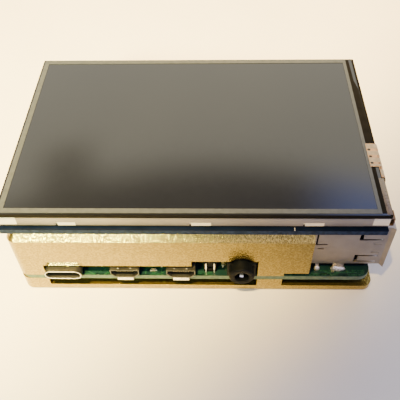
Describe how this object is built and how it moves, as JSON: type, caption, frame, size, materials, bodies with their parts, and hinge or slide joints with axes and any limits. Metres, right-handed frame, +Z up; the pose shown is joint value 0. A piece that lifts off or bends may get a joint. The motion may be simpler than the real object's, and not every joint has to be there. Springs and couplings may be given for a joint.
{
  "type": "single board computer",
  "caption": "Single board computer in a gold aluminium heat-sink case, with edge ports, a memory card and a touch display plugged on its pin header",
  "frame": {"origin": "on the base plate's underside, below the middle of the main board, on the surface that the computer stands on", "axes": "+X along the long side towards the data ports, +Y away from the power, video and audio ports, +Z up towards the display"},
  "size_m": [0.0902, 0.0585, 0.0286],
  "materials": {
    "gold_anodised": "bead-blasted and anodised pale gold",
    "black_steel": "blackened steel",
    "silicone_pad": "soft matte silicone",
    "green_board": "green solder mask over copper",
    "nickel": "satin nickel",
    "chip_epoxy": "matte black moulding compound",
    "ferrite": "grey sintered ferrite",
    "ceramic_parts": "tan ceramic with tinned ends",
    "tin_plate": "tin-plated steel sheet",
    "black_plastic": "black glass-filled nylon",
    "ivory_plastic": "ivory moulded plastic",
    "gold_contact": "thin gold plating",
    "blue_board": "dark blue solder mask",
    "black_foam": "closed-cell adhesive foam",
    "tray_steel": "bare rolled steel",
    "clear_guide": "clear acrylic",
    "panel_dark": "dark grey polarised glass",
    "touch_edge": "black-edged glass",
    "silver_ink": "printed silver",
    "flex_film": "amber polyimide film"
  },
  "bodies": {
    "computer": {"base_plate": "gold_anodised", "heat_sink_lid": "gold_anodised", "case_screws": "black_steel", "thermal_pads": "silicone_pad", "main_board": "green_board", "processor_carrier": "green_board", "processor_cap": "nickel", "memory_chip": "chip_epoxy", "port_controller_chip": "chip_epoxy", "network_chip": "chip_epoxy", "power_chip": "chip_epoxy", "wireless_can": "nickel", "inductors": "ferrite", "board_passives": "ceramic_parts", "card_socket": "tin_plate", "power_port_shell": "tin_plate", "power_port_tongue": "black_plastic", "video_port_shells": "tin_plate", "video_port_tongues": "black_plastic", "audio_jack_body": "black_plastic", "audio_jack_contacts": "gold_contact", "camera_socket": "black_plastic", "camera_socket_nails": "tin_plate", "camera_contacts": "gold_contact", "display_flex_socket": "ivory_plastic", "display_flex_contacts": "gold_contact", "data_port_shell_1": "tin_plate", "data_port_core_1": "black_plastic", "data_port_shell_2": "tin_plate", "data_port_core_2": "black_plastic", "data_port_contacts": "gold_contact", "network_jack_shell": "tin_plate", "network_jack_insert": "black_plastic", "network_jack_contacts": "gold_contact", "header_base": "black_plastic", "header_pins": "gold_contact", "aux_header_base": "black_plastic", "aux_header_pins": "gold_contact"},
    "memory_card": {"memory_card": "black_plastic"},
    "camera_latch": {"camera_latch": "black_plastic"},
    "display_flex_latch": {"display_flex_latch": "black_plastic"},
    "touch_display": {"display_board": "blue_board", "display_socket": "black_plastic", "display_socket_contacts": "gold_contact", "display_chips": "chip_epoxy", "display_passives": "ceramic_parts", "foam_frame": "black_foam", "backlight_tray": "tray_steel", "backlight_carrier": "ivory_plastic", "light_guide": "clear_guide", "panel_glass": "panel_dark", "panel_flex": "flex_film", "backlight_flex": "flex_film", "panel_tape": "black_foam", "touch_glass": "touch_edge", "touch_film": "panel_dark", "touch_border": "silver_ink", "touch_tail": "flex_film"}
  },
  "joints": [
    {"name": "display_lift", "type": "slide", "parent": "computer", "child": "touch_display", "axis": [0, 0, 1], "range_m": [0, 0.02]},
    {"name": "memory_card_slide", "type": "slide", "parent": "computer", "child": "memory_card", "axis": [-1, 0, 0], "range_m": [0, 0.015]},
    {"name": "camera_latch_lift", "type": "slide", "parent": "computer", "child": "camera_latch", "axis": [0, 0, 1], "range_m": [0, 0.001]},
    {"name": "display_latch_lift", "type": "slide", "parent": "computer", "child": "display_flex_latch", "axis": [0, 0, 1], "range_m": [0, 0.001]}
  ]
}
